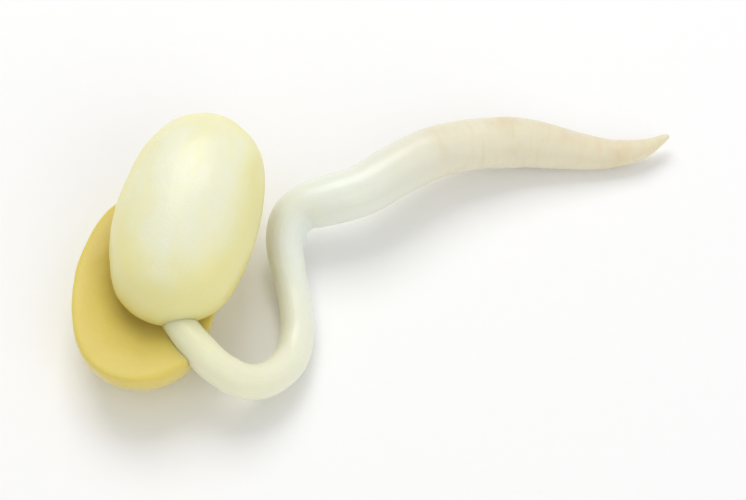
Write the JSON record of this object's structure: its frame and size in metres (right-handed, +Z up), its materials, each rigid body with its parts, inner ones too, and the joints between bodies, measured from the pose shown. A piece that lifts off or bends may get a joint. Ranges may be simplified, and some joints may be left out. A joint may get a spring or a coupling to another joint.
{
  "type": "mung bean sprout",
  "caption": "Mung bean sprout lying on its side, with domed cotyledons, a hooked white stem and a tapering tan root.",
  "frame": {"origin": "on the surface that the sprout lies on, under the middle of its bounding box", "axes": "+Z up from the surface, +X from the cotyledons towards the root tip"},
  "size_m": [0.0244, 0.013, 0.0064],
  "materials": {
    "stem_white": "moist, glossy, slightly translucent white",
    "root_tan": "satin, cream to tan",
    "cotyledon_cream": "smooth, moist, slightly translucent pale yellow",
    "cotyledon_yellow": "smooth, moist, slightly translucent yellow",
    "leaf_yellow": "soft, veined, greenish yellow"
  },
  "bodies": {
    "root": {"stem": "stem_white", "root": "root_tan", "cotyledon_upper": "cotyledon_cream", "cotyledon_lower": "cotyledon_yellow", "first_leaves": "leaf_yellow"}
  },
  "joints": []
}
